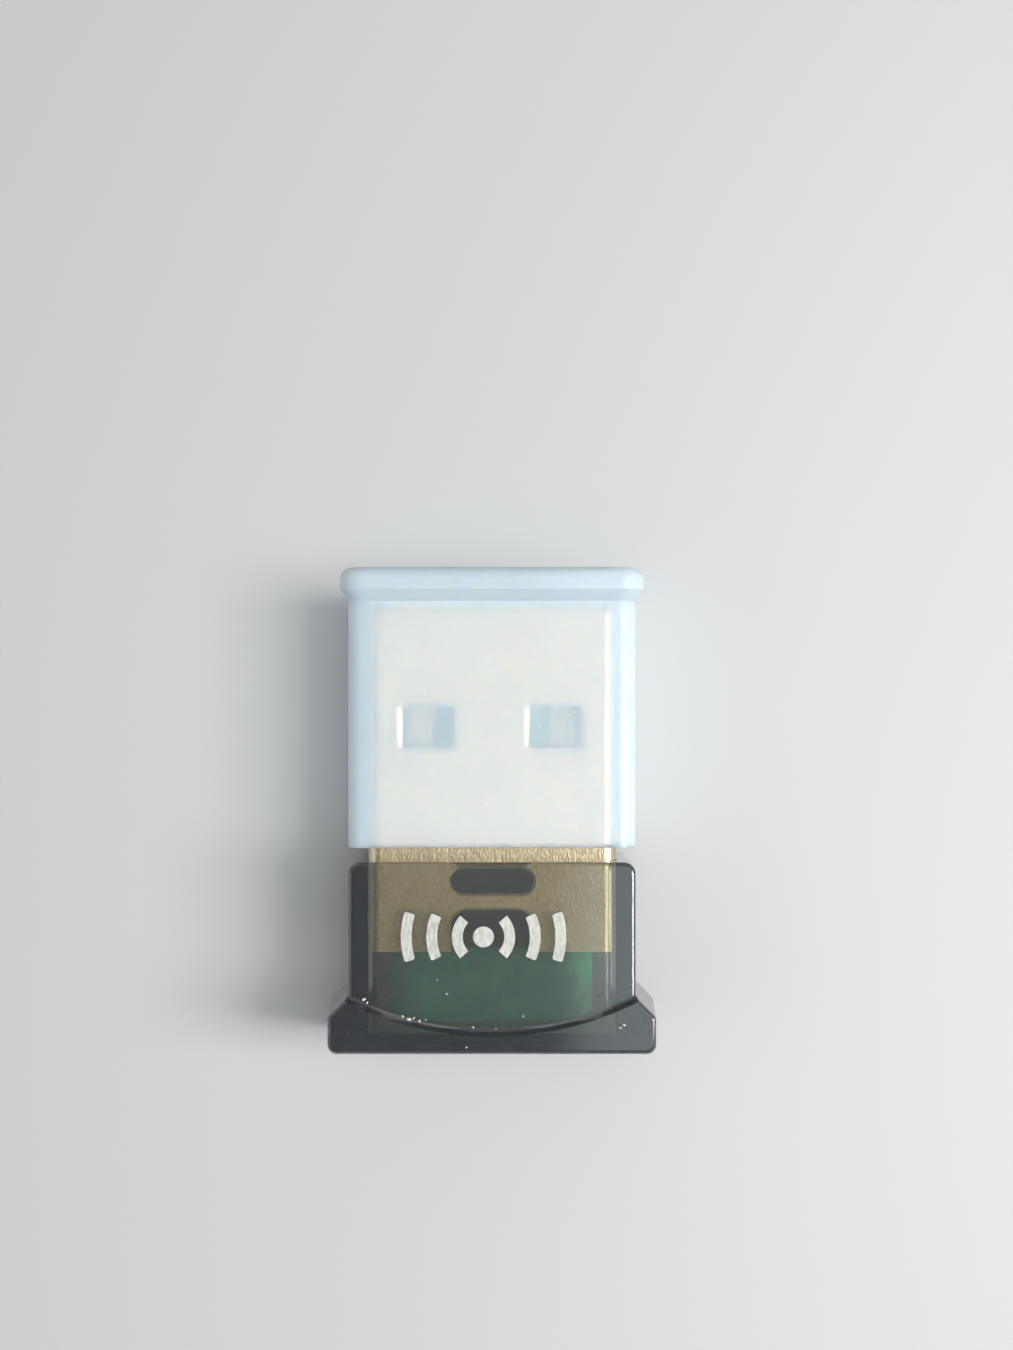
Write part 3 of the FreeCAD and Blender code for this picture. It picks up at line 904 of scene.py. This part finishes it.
def add_lamp(name, place, width, height, power, colour, glints):
    """Soft rectangular lamp that no view shows, turned towards the object's middle.

    Where it glints, metal under clear plastic mirrors it.
    """
    light = bpy.data.lights.new(name, "AREA")
    light.shape = "RECTANGLE"
    light.size = width
    light.size_y = height
    light.energy = power
    light.color = colour
    lamp = bpy.data.objects.new(name, light)
    bpy.context.scene.collection.objects.link(lamp)
    lamp.location = place
    towards = Vector((0, 0, MID_Z)) - Vector(place)
    lamp.rotation_euler = towards.to_track_quat("-Z", "Y").to_euler()
    lamp.visible_camera = False
    lamp.visible_transmission = glints


def add_floor(colour):
    """Plain pale floor, far wider than any view of the object."""
    bpy.ops.object.select_all(action="DESELECT")
    bpy.ops.mesh.primitive_plane_add(size=FLOOR_WIDTH, location=(0, 0, FLOOR_Z))
    floor = bpy.context.object
    floor.name = "floor"
    tree = ShaderTree("pale_floor")
    cloud = tree.noise(60 * MM, detail=2.0)
    mottle = tree.blend(cloud, shade(colour, 0.985), shade(colour, 1.015))
    pale = tree.principled(Base_Color=mottle, Roughness=0.75)
    away = tree.add("ShaderNodeVectorMath", {"operation": "LENGTH"}, {0: tree.place()})
    faded = tree.range(away, FADE_START, FADE_END)
    tree.surface(tree.mix(faded, pale, tree.add("ShaderNodeBsdfTransparent")))
    floor.data.materials.append(tree.owner)


def set_sky(strength):
    """Even light all round, and a white backdrop for the camera, gloss and clear plastic.

    Gloss sees the backdrop white at eye level and greyer overhead, as under a studio's ceiling.
    """
    tree = ShaderTree("studio", bpy.data.worlds, "ShaderNodeOutputWorld")
    path = tree.add("ShaderNodeLightPath")
    direction = tree.add("ShaderNodeTexCoord").out("Generated")
    height = tree.add("ShaderNodeSeparateXYZ", inputs={0: direction}).out("Z")
    ceiling = tree.range(height, 0.25, 0.95, to_low=1.0, to_high=0.34)
    light = tree.add(
        "ShaderNodeBackground", inputs={"Color": SKY_COLOUR, "Strength": strength}
    )
    seen = tree.larger(path.out("Is Camera Ray"), path.out("Is Transmission Ray"))
    brightness = ceiling + (1 - ceiling) * seen
    backdrop = tree.add(
        "ShaderNodeBackground", inputs={"Color": WHITE, "Strength": brightness}
    )
    shows = tree.larger(seen, path.out("Is Glossy Ray"))
    tree.surface(tree.mix(shows, light, backdrop))
    bpy.context.scene.world = tree.owner


def add_camera():
    """Looks straight down from where the photograph was taken."""
    data = bpy.data.cameras.new("camera")
    data.sensor_fit = "VERTICAL"
    data.sensor_height = SENSOR_HEIGHT
    data.lens = PHOTO_FOCAL / PHOTO_HEIGHT * SENSOR_HEIGHT
    data.clip_start = 0.005
    data.clip_end = 20.0
    camera = bpy.data.objects.new("camera", data)
    bpy.context.scene.collection.objects.link(camera)
    camera.location = CAMERA_PLACE
    bpy.context.scene.camera = camera


class ADAPTER_OT_set_stage(bpy.types.Operator):
    """Set the camera, the floor, the even light and the soft lamps"""

    bl_idname = "adapter.set_stage"
    bl_label = "Set Stage"

    def execute(self, context):
        studio = context.scene.adapter_studio
        add_camera()
        add_floor(studio.floor_colour)
        set_sky(studio.sky_strength)
        powers = {
            "key": studio.key_power,
            "top": studio.top_power,
            "fill": studio.fill_power,
        }
        for name, (place, width, height, colour, glints) in LAMPS.items():
            add_lamp(name, place, width, height, powers[name], colour, glints)
        context.scene.view_settings.view_transform = "Standard"
        return {"FINISHED"}


OPERATORS = (
    ADAPTER_OT_set_stage,
    ADAPTER_OT_dress_cap,
    ADAPTER_OT_dress_housing,
    ADAPTER_OT_dress_plug,
    ADAPTER_OT_dress_board,
    ADAPTER_OT_print_mark,
    ADAPTER_OT_scatter_dust,
)


class ADAPTER_PT_looks(bpy.types.Panel):
    """Lists the adapter's operators, colours and sizes"""

    bl_idname = "ADAPTER_PT_looks"
    bl_label = "Adapter Looks"
    bl_space_type = "VIEW_3D"
    bl_region_type = "UI"
    bl_category = "Adapter"

    def draw(self, context):
        layout = self.layout
        scene = context.scene
        for operator in OPERATORS:
            layout.operator(operator.bl_idname)
        for group in (scene.adapter_finishes, scene.adapter_sizes, scene.adapter_studio):
            box = layout.box()
            for name in group.__annotations__:
                box.prop(group, name)


CLASSES = (AdapterFinishes, AdapterSizes, StudioLight) + OPERATORS + (ADAPTER_PT_looks,)


def register():
    for each in CLASSES:
        bpy.utils.register_class(each)
    bpy.types.Scene.adapter_finishes = PointerProperty(type=AdapterFinishes)
    bpy.types.Scene.adapter_sizes = PointerProperty(type=AdapterSizes)
    bpy.types.Scene.adapter_studio = PointerProperty(type=StudioLight)


def unregister():
    del bpy.types.Scene.adapter_finishes
    del bpy.types.Scene.adapter_sizes
    del bpy.types.Scene.adapter_studio
    for each in reversed(CLASSES):
        bpy.utils.unregister_class(each)


def main():
    """Registers the classes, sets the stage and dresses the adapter."""
    register()
    bpy.ops.adapter.set_stage()
    bpy.ops.adapter.dress_cap()
    bpy.ops.adapter.dress_housing()
    bpy.ops.adapter.dress_plug()
    bpy.ops.adapter.dress_board()
    bpy.ops.adapter.print_mark()
    bpy.ops.adapter.scatter_dust()


if __name__ == "__main__":
    main()
